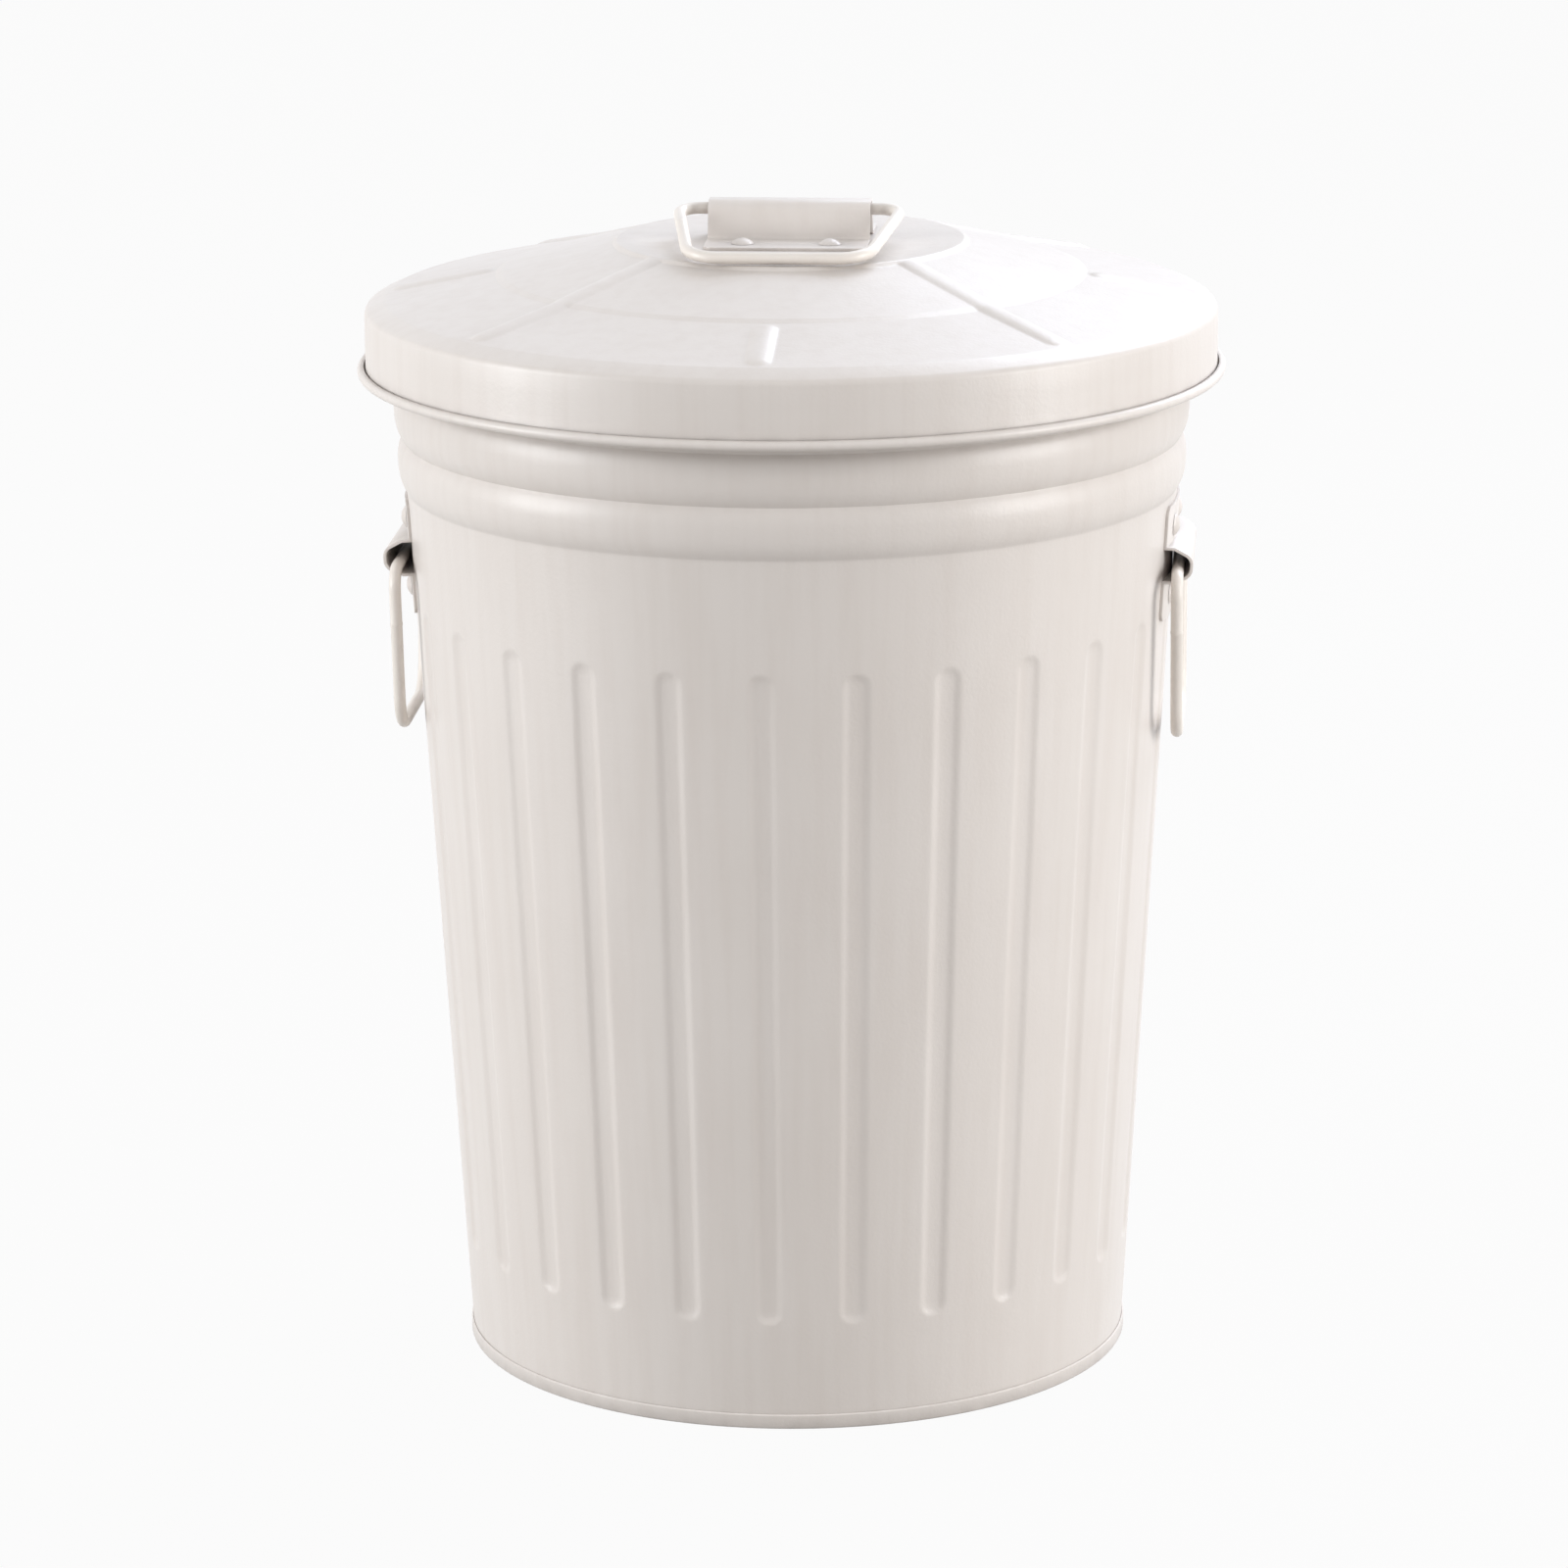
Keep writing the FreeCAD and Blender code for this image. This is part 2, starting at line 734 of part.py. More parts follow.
export(make_body_shell(), "body_shell")
export(make_rim_wire(), "rim_wire")
export(make_bottom_pan(), "bottom_pan")
export(make_lid_shell(), "lid_shell")
export(make_lid_bracket(), "lid_handle_bracket")
export(make_lid_ring(), "lid_handle_ring")
export(make_lid_rivets(), "lid_handle_rivets")
export(side_bracket, "right_handle_bracket")
export(side_ring, "right_handle_ring")
export(side_rivets, "right_handle_rivets")
export(turned_half(side_bracket), "left_handle_bracket")
export(turned_half(side_ring), "left_handle_ring")
export(turned_half(side_rivets), "left_handle_rivets")
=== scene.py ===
import json
import math

import bmesh
import bpy
from mathutils import Matrix, Vector


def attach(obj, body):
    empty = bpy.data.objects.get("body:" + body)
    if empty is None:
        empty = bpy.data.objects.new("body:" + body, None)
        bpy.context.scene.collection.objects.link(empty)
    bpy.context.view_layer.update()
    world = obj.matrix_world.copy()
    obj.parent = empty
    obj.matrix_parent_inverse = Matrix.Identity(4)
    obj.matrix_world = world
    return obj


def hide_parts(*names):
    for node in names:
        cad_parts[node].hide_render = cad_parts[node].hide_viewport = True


# A cream painted sheet-steel trash can with a ribbed lift-off lid and three drop rings.
# Metres, +Z up, the front is -Y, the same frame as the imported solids.

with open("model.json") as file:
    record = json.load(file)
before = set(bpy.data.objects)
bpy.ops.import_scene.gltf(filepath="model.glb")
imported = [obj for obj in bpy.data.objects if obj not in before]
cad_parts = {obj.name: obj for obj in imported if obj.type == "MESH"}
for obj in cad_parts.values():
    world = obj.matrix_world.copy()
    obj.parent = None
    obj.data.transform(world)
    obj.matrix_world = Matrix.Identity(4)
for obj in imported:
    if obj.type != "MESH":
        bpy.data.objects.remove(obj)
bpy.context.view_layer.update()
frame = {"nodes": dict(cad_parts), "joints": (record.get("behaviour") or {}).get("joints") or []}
cadNodes = frame["nodes"]
mm = 0.001
fullTurn = 2 * math.pi
mergeReach = 0.02 * mm  # points nearer than this become one
sheetFold = math.radians(38)  # edges of sheet that turn more than this stay sharp
wireFold = math.radians(50)
hinges = {joint["child"]: Vector(joint["pos_m"]) for joint in frame["joints"] if "pos_m" in joint}


# Ways of working that several pieces share

def clearSelection():
    if bpy.context.object and bpy.context.object.mode != "OBJECT":
        bpy.ops.object.mode_set(mode="OBJECT")
    bpy.ops.object.select_all(action="DESELECT")


def beginPiece(name, place):
    # a tiny plane merged to one point, ready to be extruded
    clearSelection()
    bpy.ops.mesh.primitive_plane_add(size=mm, location=place)
    piece = bpy.context.object
    piece.name = name
    piece.data.name = name
    bpy.ops.object.transform_apply(location=True, rotation=True, scale=True)
    bpy.ops.object.mode_set(mode="EDIT")
    bpy.ops.mesh.select_mode(type="VERT")
    bpy.ops.mesh.select_all(action="SELECT")
    bpy.ops.mesh.merge(type="CENTER")
    return piece


def drawLine(points):
    # extrudes the selected point along the line
    for here, there in zip(points, points[1:]):
        bpy.ops.mesh.extrude_region_move(TRANSFORM_OT_translate={"value": there - here})


def selectWhere(piece, kind, test):
    # kind is verts or faces
    mesh = bmesh.from_edit_mesh(piece.data)
    for parts in (mesh.faces, mesh.edges, mesh.verts):
        for part in parts:
            part.select = False
    for part in getattr(mesh, kind):
        part.select = test(part)
    mesh.select_flush(True)
    bmesh.update_edit_mesh(piece.data)


def loftLines(name, lines):
    # draws each line point by point and bridges it to the line before
    piece = beginPiece(name, lines[0][0])
    bmesh.from_edit_mesh(piece.data).verts.layers.int.new("line")
    for number, points in enumerate(lines):
        if number:
            bpy.ops.mesh.primitive_plane_add(size=mm, location=points[0])
            bpy.ops.mesh.merge(type="CENTER")
        mesh = bmesh.from_edit_mesh(piece.data)
        tag = mesh.verts.layers.int["line"]
        for vertex in mesh.verts:
            if vertex.select:
                vertex[tag] = number
        drawLine(points)
        if number:
            tag = bmesh.from_edit_mesh(piece.data).verts.layers.int["line"]
            selectWhere(piece, "verts", lambda vertex: vertex[tag] in (number - 1, number))
            bpy.ops.mesh.bridge_edge_loops()
    layers = bmesh.from_edit_mesh(piece.data).verts.layers.int
    layers.remove(layers["line"])
    return piece


def mirrorAcross(scale):
    bpy.ops.mesh.select_all(action="SELECT")
    bpy.ops.mesh.duplicate()
    bpy.ops.transform.resize(value=scale, center_override=(0, 0, 0))


def copyRound(count, step):
    # turned copies of everything that is selected
    for _ in range(count - 1):
        bpy.ops.mesh.duplicate()
        bpy.ops.transform.rotate(value=step, orient_axis="Z", center_override=(0, 0, 0))


def closeSeams(piece, outward):
    # merges the seams, then turns the faces the way that outward says for one known face
    bpy.ops.mesh.select_all(action="SELECT")
    bpy.ops.mesh.remove_doubles(threshold=mergeReach)
    bpy.ops.mesh.normals_make_consistent(inside=False)
    mesh = bmesh.from_edit_mesh(piece.data)
    place, direction = outward
    nearest = min(mesh.faces, key=lambda face: (face.calc_center_median() - place).length)
    if nearest.normal.dot(direction) < 0:
        bpy.ops.mesh.flip_normals()


def addThickness(piece, thickness):
    wall = piece.modifiers.new("sheet", "SOLIDIFY")
    wall.thickness = thickness
    wall.offset = -1
    wall.use_even_offset = True
    bpy.ops.object.modifier_apply(modifier=wall.name)


def smoothShade(sharpTurn):
    bpy.ops.object.shade_smooth_by_angle(angle=sharpTurn)


def finishPiece(piece, material, body, nodes):
    clearSelection()
    piece.data.materials.clear()
    piece.data.materials.append(material)
    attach(piece, body)
    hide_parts(*nodes)


def smoothStep(start, end, value):
    share = min(max((value - start) / (end - start), 0), 1)
    return share * share * (3 - 2 * share)


def softRamp(value, softness):
    # zero below, straight above, and rounded between
    return (value + math.sqrt(value * value + softness * softness)) / 2


def turned(radius, angle, height):
    # angle is counted from the front, -Y
    return Vector((radius * math.sin(angle), -radius * math.cos(angle), height))


def arcPoints(centre, radius, first, last, count):
    # in the (radius, height) plane, angles in degrees
    points = []
    for index in range(count + 1):
        angle = math.radians(first + (last - first) * index / count)
        points.append((centre[0] + radius * math.cos(angle), centre[1] + radius * math.sin(angle)))
    return points


def roundCorners(corners, radii, steps):
    # the corners of a (radius, height) outline, rounded
    points = [corners[0]]
    for index in range(1, len(corners) - 1):
        before, corner, after = (Vector(corners[index + shift]) for shift in (-1, 0, 1))
        into = (corner - before).normalized()
        away = (after - corner).normalized()
        turn = into.angle(away)
        reach = radii[index] * math.tan(turn / 2)
        centre = corner + (away - into).normalized() * radii[index] / math.cos(turn / 2)
        start = corner - into * reach - centre
        end = corner + away * reach - centre
        for step in range(steps + 1):
            spoke = start.slerp(end, step / steps).normalized() * radii[index]
            points.append(tuple(centre + spoke))
    points.append(corners[-1])
    return points


def heightAt(profile, radius):
    # height of a (radius, height) outline that runs outwards
    for low, high in zip(profile, profile[1:]):
        if low[0] <= radius <= high[0]:
            share = (radius - low[0]) / max(high[0] - low[0], 1e-9)
            return low[1] + share * (high[1] - low[1])
    return profile[-1][1]


def roundEnd(across, along, fade):
    # bends a square grid to the round end of a rib or flute; both in half widths
    if along <= 0:
        return across, along
    straight = min(max((max(across, along) - 1) / fade, 0), 1)
    bentAcross = across * math.sqrt(1 - min(along, 1) ** 2 / 2)
    bentAlong = along * math.sqrt(1 - min(across, 1) ** 2 / 2)
    return (across * straight + bentAcross * (1 - straight),
            along * straight + bentAlong * (1 - straight))


# grid lines across half a rib or flute, in half widths, and from beyond its end to the centre of it
acrossSteps = [0, 0.36, 0.54, 0.68, 0.82, 0.95, 1.07, 1.22]
endSteps = acrossSteps[::-1]


# Materials

def newGroup(name, inputs, outputs):
    group = bpy.data.node_groups.new(name, "ShaderNodeTree")
    for label, kind, value in inputs:
        socket = group.interface.new_socket(label, in_out="INPUT", socket_type=kind)
        if value is not None:
            socket.default_value = value
    for label, kind in outputs:
        group.interface.new_socket(label, in_out="OUTPUT", socket_type=kind)
    return group, group.nodes.new("NodeGroupInput"), group.nodes.new("NodeGroupOutput")


def addNoise(tree, place, scale, detail):
    noise = tree.nodes.new("ShaderNodeTexNoise")
    noise.inputs["Scale"].default_value = scale
    noise.inputs["Detail"].default_value = detail
    tree.links.new(place, noise.inputs["Vector"])
    return noise.outputs["Fac"]


def addRange(tree, value, low, high, outLow, outHigh):
    spread = tree.nodes.new("ShaderNodeMapRange")
    for label, number in zip(("From Min", "From Max", "To Min", "To Max"), (low, high, outLow, outHigh)):
        spread.inputs[label].default_value = number
    tree.links.new(value, spread.inputs["Value"])
    return spread.outputs["Result"]


def addMath(tree, operation, first, second):
    node = tree.nodes.new("ShaderNodeMath")
    node.operation = operation
    for socket, value in zip(node.inputs, (first, second)):
        if isinstance(value, (int, float)):
            socket.default_value = value
        else:
            tree.links.new(value, socket)
    return node.outputs[0]


def addMix(tree, factor, first, second):
    node = tree.nodes.new("ShaderNodeMix")
    node.data_type = "RGBA"
    for index, value in ((0, factor), (6, first), (7, second)):
        if isinstance(value, (int, float, tuple)):
            node.inputs[index].default_value = value
        else:
            tree.links.new(value, node.inputs[index])
    return node.outputs[2]


def addNearness(tree, samples, reach, inside):
    # 1 in the open, less where another surface is near; inside looks through the sheet's own edge
    near = tree.nodes.new("ShaderNodeAmbientOcclusion")
    near.samples = samples
    near.inside = inside
    near.inputs["Distance"].default_value = reach
    return near.outputs["AO"]


def addStretch(tree, place, scale):
    node = tree.nodes.new("ShaderNodeMapping")
    node.inputs["Scale"].default_value = scale
    tree.links.new(place, node.inputs["Vector"])
    return node.outputs["Vector"]


# clouds, the painted reflection bands, gloss, peel, waves, patches and chips give the scale and detail of a
# noise
sprayPattern = {
    "clouds": (14, 4),
    "cloudRange": (0.35, 0.68),
    "reflectionBandStretch": (150, 150, 5),
    "paintedReflectionBands": (1, 3),
    "reflectionBandRange": (0.42, 0.7),
    "gloss": (55, 3),
    "glossRange": (0.3, 0.7),
    "glossSpread": (-0.035, 0.045),
    "peel": (620, 2),
    "waveStretch": (1, 1, 0.45),
    "waves": (22, 1),
}


def sprayedPaintGroup():
    # mottled colour, faint darker vertical bands of painted reflection down the wall, orange peel and slow
    # waves in the sheet
    group, given, made = newGroup(
        "sprayedPaint",
        [("Place", "NodeSocketVector", None),
         ("Paint", "NodeSocketColor", None),
         ("Shade", "NodeSocketColor", None),
         ("Mottling", "NodeSocketFloat", 0.5),
         ("Streaks", "NodeSocketFloat", 0.3),
         ("Roughness", "NodeSocketFloat", 0.4),
         ("Peel", "NodeSocketFloat", 0.3),
         ("Waves", "NodeSocketFloat", 0.5)],
        [("Color", "NodeSocketColor"),
         ("Roughness", "NodeSocketFloat"),
         ("Height", "NodeSocketFloat")])
    pattern = sprayPattern
    place = given.outputs["Place"]
    clouds = addRange(group, addNoise(group, place, *pattern["clouds"]), *pattern["cloudRange"], 0, 1)
    mottled = addMath(group, "MULTIPLY", clouds, given.outputs["Mottling"])
    # painted reflection: faint darker vertical bands down the wall, where uneven rolled sheet would reflect
    downWall = addStretch(group, place, pattern["reflectionBandStretch"])
    paintedReflectionBands = addRange(group, addNoise(group, downWall, *pattern["paintedReflectionBands"]), *pattern["reflectionBandRange"], 0, 1)
    paintedReflection = addMath(group, "MULTIPLY", paintedReflectionBands, given.outputs["Streaks"])
    shadeShare = addMath(group, "ADD", mottled, paintedReflection)
    color = addMix(group, shadeShare, given.outputs["Paint"], given.outputs["Shade"])
    group.links.new(color, made.inputs["Color"])
    glossNoise = addNoise(group, place, *pattern["gloss"])
    gloss = addRange(group, glossNoise, *pattern["glossRange"], *pattern["glossSpread"])
    group.links.new(addMath(group, "ADD", given.outputs["Roughness"], gloss), made.inputs["Roughness"])
    peel = addMath(group, "MULTIPLY", addNoise(group, place, *pattern["peel"]), given.outputs["Peel"])
    waveNoise = addNoise(group, addStretch(group, place, pattern["waveStretch"]), *pattern["waves"])
    waves = addMath(group, "MULTIPLY", waveNoise, given.outputs["Waves"])
    group.links.new(addMath(group, "ADD", peel, waves), made.inputs["Height"])
    return group


paintedShadeAndRubPattern = {
    "patches": (90, 4),
    "patchRange": (0.35, 0.65),
    "patchShare": (0.6, 1),
    "samples": 6,
    # the fold and crease reaches and ranges set where painted shade darkens folds and creases
    "foldReach": 9 * mm,
    "foldRange": (0.98, 0.5),
    "creaseReach": 1.8 * mm,
    "creaseRange": (0.93, 0.62),
    "edgeReach": 0.6 * mm,
    "edgeRange": (0.9, 0.55),
    "chips": (260, 3),
    "chipRange": (0.5, 0.62),
}


def paintedShadeAndEdgeRubGroup():
    # painted shade that darkens folds and creases in uneven patches, and paint rubbed thin and lighter on
    # the outer edges
    group, given, made = newGroup(
        "paintedShadeAndEdgeRub",
        [("Place", "NodeSocketVector", None),
         ("Color", "NodeSocketColor", None),
         ("Painted Crease Shade", "NodeSocketColor", None),
         ("Rub And Highlight", "NodeSocketColor", None),
         ("Painted Shade Amount", "NodeSocketFloat", 0.5),
         ("Rub And Highlight Amount", "NodeSocketFloat", 0.3)],
        [("Color", "NodeSocketColor"), ("Rub And Highlight Mask", "NodeSocketFloat")])
    pattern = paintedShadeAndRubPattern
    place = given.outputs["Place"]
    samples = pattern["samples"]
    patchNoise = addNoise(group, place, *pattern["patches"])
    patches = addRange(group, patchNoise, *pattern["patchRange"], *pattern["patchShare"])
    # painted shade: darker where another surface is near, in folds and creases, in uneven patches
    fold = addNearness(group, samples, pattern["foldReach"], False)
    fold = addRange(group, fold, *pattern["foldRange"], 0, 1)
    crease = addNearness(group, samples, pattern["creaseReach"], False)
    crease = addRange(group, crease, *pattern["creaseRange"], 0, 1)
    paintedShadeMask = addMath(group, "MULTIPLY", addMath(group, "MAXIMUM", fold, crease), patches)
    paintedShadeAmount = addMath(group, "MULTIPLY", paintedShadeMask, given.outputs["Painted Shade Amount"])
    # paint rubbed thin on the outer edges, broken by chips, and lighter there as a painted edge highlight
    edge = addNearness(group, samples, pattern["edgeReach"], True)
    edge = addRange(group, edge, *pattern["edgeRange"], 0, 1)
    chips = addRange(group, addNoise(group, place, *pattern["chips"]), *pattern["chipRange"], 0, 1)
    rubAndHighlightAmount = addMath(group, "MULTIPLY", addMath(group, "MULTIPLY", edge, chips), given.outputs["Rub And Highlight Amount"])
    withPaintedShade = addMix(group, paintedShadeAmount, given.outputs["Color"], given.outputs["Painted Crease Shade"])
    group.links.new(addMix(group, rubAndHighlightAmount, withPaintedShade, given.outputs["Rub And Highlight"]), made.inputs["Color"])
    group.links.new(rubAndHighlightAmount, made.inputs["Rub And Highlight Mask"])
    return group


def placeGroup(tree, group, values):
    node = tree.nodes.new("ShaderNodeGroup")
    node.node_tree = group
    for label, value in values.items():
        if isinstance(value, (int, float, tuple)):
            node.inputs[label].default_value = value
        else:
            tree.links.new(value, node.inputs[label])
    return node


creamLook = {
    "paint": (0.764, 0.713, 0.670, 1),
    "shade": (0.724, 0.667, 0.620, 1),
    # the dark colour below is painted shade laid into folds and creases
    "paintedCreaseShade": (0.36, 0.325, 0.30, 1),
    # the light colour below is rubbed paint on the edges together with a painted edge highlight
    "rubAndHighlight": (0.86, 0.84, 0.82, 1),
    "mottling": 0.45,
    # strength of the painted reflection bands
    "paintedReflectionBands": 0.55,
    "roughness": 0.36,
    "peel": 0.22,
    "waves": 0.9,
    "paintedShadeAmount": 0.5,
    "rubAndHighlightAmount": 0.3,
    "bumpReach": 0.35 * mm,
}

ringLook = dict(
    creamLook,
    paint=(0.86, 0.803, 0.74, 1),
    shade=(0.785, 0.722, 0.655, 1),
    mottling=0.6,
    # weaker painted reflection bands on the rings
    paintedReflectionBands=0.15,
    roughness=0.34,
    waves=0.1,
    rubAndHighlightAmount=0.45,
)

wireLook = {
    "steel": (0.52, 0.52, 0.53, 1),
    "dark": (0.34, 0.33, 0.33, 1),
    "roughness": 0.34,
    "roughSpread": (-0.06, 0.1),
    "patches": (70, 4),
    "patchRange": (0.35, 0.7),
    "drawStretch": (40, 40, 2500),
    "drawLines": (1, 3),
    "drawRange": (0.3, 0.7),
    "bumpReach": 0.1 * mm,
}


def paintMaterial(name, look, sprayed, shadedAndWorn):
    material = bpy.data.materials.new(name)
    material.use_nodes = True
    tree = material.node_tree
    shader = tree.nodes["Principled BSDF"]
    place = tree.nodes.new("ShaderNodeTexCoord").outputs["Object"]
    paint = placeGroup(tree, sprayed, {
        "Place": place, "Paint": look["paint"], "Shade": look["shade"],
        "Mottling": look["mottling"], "Streaks": look["paintedReflectionBands"], "Roughness": look["roughness"],
        "Peel": look["peel"], "Waves": look["waves"]})
    # painted shade in folds and creases, and rubbed lighter edges
    shadeAndWear = placeGroup(tree, shadedAndWorn, {
        "Place": place, "Color": paint.outputs["Color"], "Painted Crease Shade": look["paintedCreaseShade"],
        "Rub And Highlight": look["rubAndHighlight"], "Painted Shade Amount": look["paintedShadeAmount"], "Rub And Highlight Amount": look["rubAndHighlightAmount"]})
    bump = tree.nodes.new("ShaderNodeBump")
    bump.inputs["Distance"].default_value = look["bumpReach"]
    tree.links.new(paint.outputs["Height"], bump.inputs["Height"])
    tree.links.new(shadeAndWear.outputs["Color"], shader.inputs["Base Color"])
    tree.links.new(paint.outputs["Roughness"], shader.inputs["Roughness"])
    tree.links.new(bump.outputs["Normal"], shader.inputs["Normal"])
    return material


def wireSteel(look):
    # drawn wire: bright and dark patches with fine draw lines
    material = bpy.data.materials.new("wireSteel")
    material.use_nodes = True
    tree = material.node_tree
    shader = tree.nodes["Principled BSDF"]
    shader.inputs["Metallic"].default_value = 1
    place = tree.nodes.new("ShaderNodeTexCoord").outputs["Object"]
    patches = addRange(tree, addNoise(tree, place, *look["patches"]), *look["patchRange"], 0, 1)
    tree.links.new(addMix(tree, patches, look["steel"], look["dark"]), shader.inputs["Base Color"])
    drawn = addNoise(tree, addStretch(tree, place, look["drawStretch"]), *look["drawLines"])
    low, high = (look["roughness"] + shift for shift in look["roughSpread"])
    tree.links.new(addRange(tree, drawn, *look["drawRange"], low, high), shader.inputs["Roughness"])
    bump = tree.nodes.new("ShaderNodeBump")
    bump.inputs["Distance"].default_value = look["bumpReach"]
    tree.links.new(drawn, bump.inputs["Height"])
    tree.links.new(bump.outputs["Normal"], shader.inputs["Normal"])
    return material


sprayedPaint = sprayedPaintGroup()
paintedShadeAndEdgeRub = paintedShadeAndEdgeRubGroup()
creamPaint = paintMaterial("creamPaint", creamLook, sprayedPaint, paintedShadeAndEdgeRub)
ringPaint = paintMaterial("ringPaint", ringLook, sprayedPaint, paintedShadeAndEdgeRub)
steelWire = wireSteel(wireLook)
print("materials made")


# Can wall: one flute's sector, copied round

wallShape = {
    "footRadius": 139.0 * mm,
    "taper": math.radians(3.35),
    "footHeight": 1.4 * mm,
    "hoopHeight": 6.0 * mm,
    "plainRow": 24.0 * mm,
    "sheet": 0.7 * mm,
    "fluteCount": 26,
    "fluteWidth": 12.5 * mm,
    "fluteDepth": 1.0 * mm,
    "fluteBottom": 45.0 * mm,
    "fluteTop": 322.5 * mm,
    "fluteEdge": 1.04,  # in half widths, as the next three are
    "fluteFloor": 0.35,
    "fluteEndFade": 0.35,
    "fluteClear": 2,
    "fluteRows": 6,
    "lowestCrease": 368.9 * mm,
    "rollCount": 2,
    "rollHeight": 21.6 * mm,
    "rollDepth": 2.8 * mm,
    "rollFullness": 2.7,
    "rollRows": 11,
    "creaseRows": (0.5 * mm, 1.3 * mm),
    "neckFlare": 5.3 * mm,
    "neckFlareHeight": 8.9 * mm,
    "neckLength": 21.3 * mm,
    "neckCorner": 2.0 * mm,
    "neckCornerSteps": 4,
    "curlBore": 2.1 * mm,
    "curlOpening": 70,  # degrees
    "curlSteps": 11,
    "seamWidth": 6.0 * mm,
    "plainSteps": (0.5,),
    "edgeSoftness": 0.1,
}


def wallRadius(height):
    return wallShape["footRadius"] + height * math.tan(wallShape["taper"])


def rollBulge(height):
    # how far the rolls stand out of the tapered wall
    half = wallShape["rollHeight"] / 2
    depth = wallShape["rollDepth"]
    bulge = -depth
    for index in range(wallShape["rollCount"]):
        off = abs(height - wallShape["lowestCrease"] - (2 * index + 1) * half) / half
        bulge = max(bulge, depth * (1 - off ** wallShape["rollFullness"]))
    return softRamp(bulge, wallShape["edgeSoftness"] * depth)


def wallRows():
    # (radius, height) of the plain wall from its foot to the end of the curled rim
    shape = wallShape
    half = shape["fluteWidth"] / 2
    low = shape["fluteBottom"] + half
    high = shape["fluteTop"] - half
    heights = [shape["footHeight"], shape["hoopHeight"], shape["plainRow"]]
    heights += [low - step * half for step in endSteps]
    heights += [low + (high - low) * row / shape["fluteRows"] for row in range(1, shape["fluteRows"])]
    heights += [high + step * half for step in reversed(endSteps)]
    heights.append((heights[-1] + shape["lowestCrease"]) / 2)
    rollRise = shape["rollHeight"]
    for index in range(shape["rollCount"] + 1):
        crease = shape["lowestCrease"] + index * rollRise
        near = shape["creaseRows"]
        heights += [crease - near[1], crease - near[0], crease, crease + near[0], crease + near[1]]
        if index < shape["rollCount"]:
            heights += [crease + rollRise * row / shape["rollRows"] for row in range(1, shape["rollRows"])]
    # the two rows past the top crease give way to the neck
    rows = [(wallRadius(height) + rollBulge(height), height) for height in sorted(heights)[:-2]]
    topCrease = shape["lowestCrease"] + shape["rollCount"] * rollRise
    neckRadius = wallRadius(topCrease) + shape["neckFlare"]
    neckStart = topCrease + shape["neckFlareHeight"]
    neckTop = neckStart + shape["neckLength"]
    neck = [(neckRadius, neckStart), (neckRadius, neckTop)]
    corner = [0, shape["neckCorner"], 0]
    rows += roundCorners([rows[-1]] + neck, corner, shape["neckCornerSteps"])[1:-1]
    curlCentre = (neckRadius + shape["curlBore"], neckTop)
    rows += arcPoints(curlCentre, shape["curlBore"], 180, shape["curlOpening"] - 180, shape["curlSteps"])
    return rows


def wallLine(rows, across, plainShare):
    # one line up the wall; across is in half flute widths
    # plainShare goes from the flute to the seam, and past 1 it is the middle of the seam
    shape = wallShape
    half = shape["fluteWidth"] / 2
    low = shape["fluteBottom"] + half
    high = shape["fluteTop"] - half
    sector = fullTurn / shape["fluteCount"] / 2
    points = []
    for radius, height in rows:
        if plainShare is not None:
            inner = acrossSteps[-1] * half / radius
            outer = sector - shape["seamWidth"] / 2 / radius
            angle = sector if plainShare > 1 else inner + (outer - inner) * plainShare
            points.append(turned(radius, angle, height))
            continue
        end, sign = (high, 1) if height > (low + high) / 2 else (low, -1)
        along = (height - end) * sign / half
        if along > shape["fluteClear"]:
            points.append(turned(radius, across * half / radius, height))
            continue
        bentAcross, bentAlong = roundEnd(across, along, shape["fluteEndFade"])
        newHeight = end + sign * bentAlong * half
        fromMiddle = math.hypot(bentAcross, max(bentAlong, 0))
        dip = smoothStep(shape["fluteEdge"], shape["fluteFloor"], fromMiddle) * shape["fluteDepth"]
        fluteRadius = wallRadius(newHeight) - dip
        points.append(turned(fluteRadius, bentAcross * half / fluteRadius, newHeight))
    return points


def makeCanWall():
    shape = wallShape
    rows = wallRows()
    lines = [wallLine(rows, across, None) for across in acrossSteps]
    lines += [wallLine(rows, 0, share) for share in (*shape["plainSteps"], 1, 2)]
    wall = loftLines("canWall", lines)
    mirrorAcross((-1, 1, 1))
    bpy.ops.mesh.select_all(action="SELECT")
    copyRound(shape["fluteCount"], fullTurn / shape["fluteCount"])
    middle = (shape["fluteBottom"] + shape["fluteTop"]) / 2
    closeSeams(wall, (turned(wallRadius(middle), 0, middle), Vector((0, -1, 0))))
    foldLapSeam(wall)
    bpy.ops.object.mode_set(mode="OBJECT")
    addThickness(wall, shape["sheet"])
    smoothShade(sheetFold)
    finishPiece(wall, creamPaint, "can", ["body_shell"])


def foldLapSeam(wall):
    # the outer lap of the rolled sheet, at the back
    shape = wallShape
    low = shape["hoopHeight"] + shape["sheet"]
    seamAzimuth = (math.pi + fullTurn / shape["fluteCount"]) / 2

    def onSeam(face):
        centre = face.calc_center_median()
        azimuth = math.atan2(centre.y, centre.x)
        off = abs(azimuth - seamAzimuth) * wallRadius(centre.z)
        return off < shape["seamWidth"] / 2 and low < centre.z < shape["lowestCrease"]

    bpy.ops.mesh.select_mode(type="FACE")
    selectWhere(wall, "faces", onSeam)
    bpy.ops.mesh.extrude_region_shrink_fatten(TRANSFORM_OT_shrink_fatten={"value": shape["sheet"]})
    bpy.ops.mesh.select_mode(type="VERT")


makeCanWall()
print("can wall made")


# Floor pan, folded round the foot

